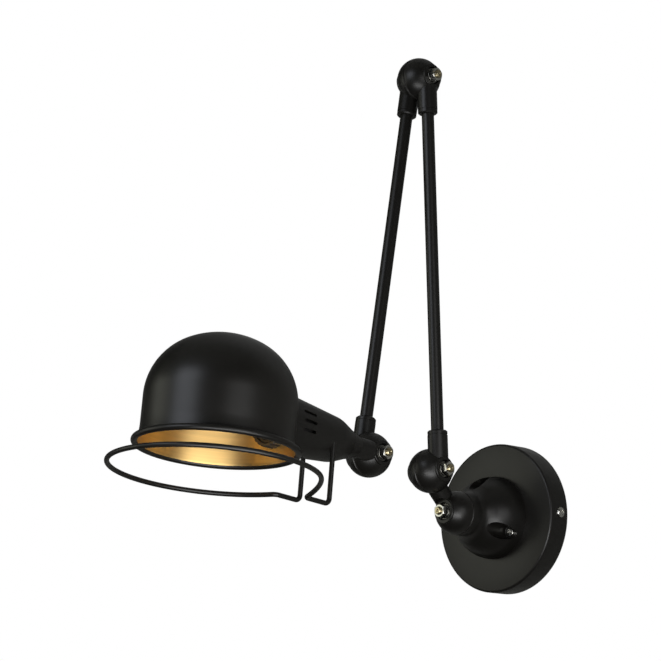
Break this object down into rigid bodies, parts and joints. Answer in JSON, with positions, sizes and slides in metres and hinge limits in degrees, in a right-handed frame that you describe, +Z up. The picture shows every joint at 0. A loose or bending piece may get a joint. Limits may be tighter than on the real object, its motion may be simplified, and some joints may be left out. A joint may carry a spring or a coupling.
{
  "type": "folding swing-arm wall lamp",
  "caption": "Black wall lamp with two folding tube arms on half-ball knuckles, a domed shade with a gold inside, and a wire guard.",
  "frame": {"origin": "centre of the two wall screw slots, on the wall plane", "axes": "+Z up, +Y into the wall, +X to the right seen from the room"},
  "size_m": [0.1571, 0.4062, 0.4278],
  "materials": {
    "black_powder_coat": "satin",
    "zinc_plated_steel": "bright",
    "black_phenolic": "satin",
    "friction_fibre": "matte",
    "brass": "bright"
  },
  "bodies": {
    "base": {"wall_bracket": "zinc_plated_steel", "wall_plate": "black_powder_coat", "plate_side_screws": "zinc_plated_steel", "terminal_block": "black_phenolic", "base_bell": "black_powder_coat", "bell_screws": "zinc_plated_steel", "swivel_bolt": "zinc_plated_steel", "swivel_washers": "zinc_plated_steel", "swivel_nut": "zinc_plated_steel", "swivel_friction_disc": "friction_fibre"},
    "swivel": {"swivel_knuckle": "black_powder_coat", "shoulder_bolt": "zinc_plated_steel", "shoulder_washers": "zinc_plated_steel", "shoulder_nut": "zinc_plated_steel", "shoulder_friction_disc": "friction_fibre"},
    "inner_arm": {"inner_arm_lower_joint": "black_powder_coat", "inner_arm_tube": "black_powder_coat", "inner_arm_upper_joint": "black_powder_coat"},
    "outer_arm": {"outer_arm_upper_joint": "black_powder_coat", "outer_arm_tube": "black_powder_coat", "outer_arm_lower_joint": "black_powder_coat", "elbow_bolt": "zinc_plated_steel", "elbow_washers": "zinc_plated_steel", "elbow_nut": "zinc_plated_steel", "elbow_friction_disc": "friction_fibre", "wrist_bolt": "zinc_plated_steel", "wrist_washers": "zinc_plated_steel", "wrist_nut": "zinc_plated_steel", "wrist_friction_disc": "friction_fibre"},
    "head": {"head_joint": "black_powder_coat", "neck_nipple": "zinc_plated_steel", "nipple_nut": "zinc_plated_steel", "lamp_housing": "black_powder_coat", "lampholder_body": "black_phenolic", "lampholder_shell": "brass", "lampholder_contact": "brass", "shade_ring": "black_phenolic", "shade": "black_powder_coat", "wire_guard": "black_powder_coat"}
  },
  "joints": [
    {"name": "base_swivel", "type": "hinge", "parent": "base", "child": "swivel", "pos_m": [0, -0.064, 0], "axis": [0, 1, 0], "range_deg": [-175, 175]},
    {"name": "shoulder", "type": "hinge", "parent": "swivel", "child": "inner_arm", "pos_m": [0, -0.0945, 0.0305], "axis": [1, 0, 0], "range_deg": [-9.7, 50]},
    {"name": "elbow", "type": "hinge", "parent": "inner_arm", "child": "outer_arm", "pos_m": [0, -0.10399, 0.35036], "axis": [-1, 0, 0], "range_deg": [-4, 150]},
    {"name": "wrist", "type": "hinge", "parent": "outer_arm", "child": "head", "pos_m": [0, -0.16286, 0.03582], "axis": [1, 0, 0], "range_deg": [-50, 60]}
  ]
}
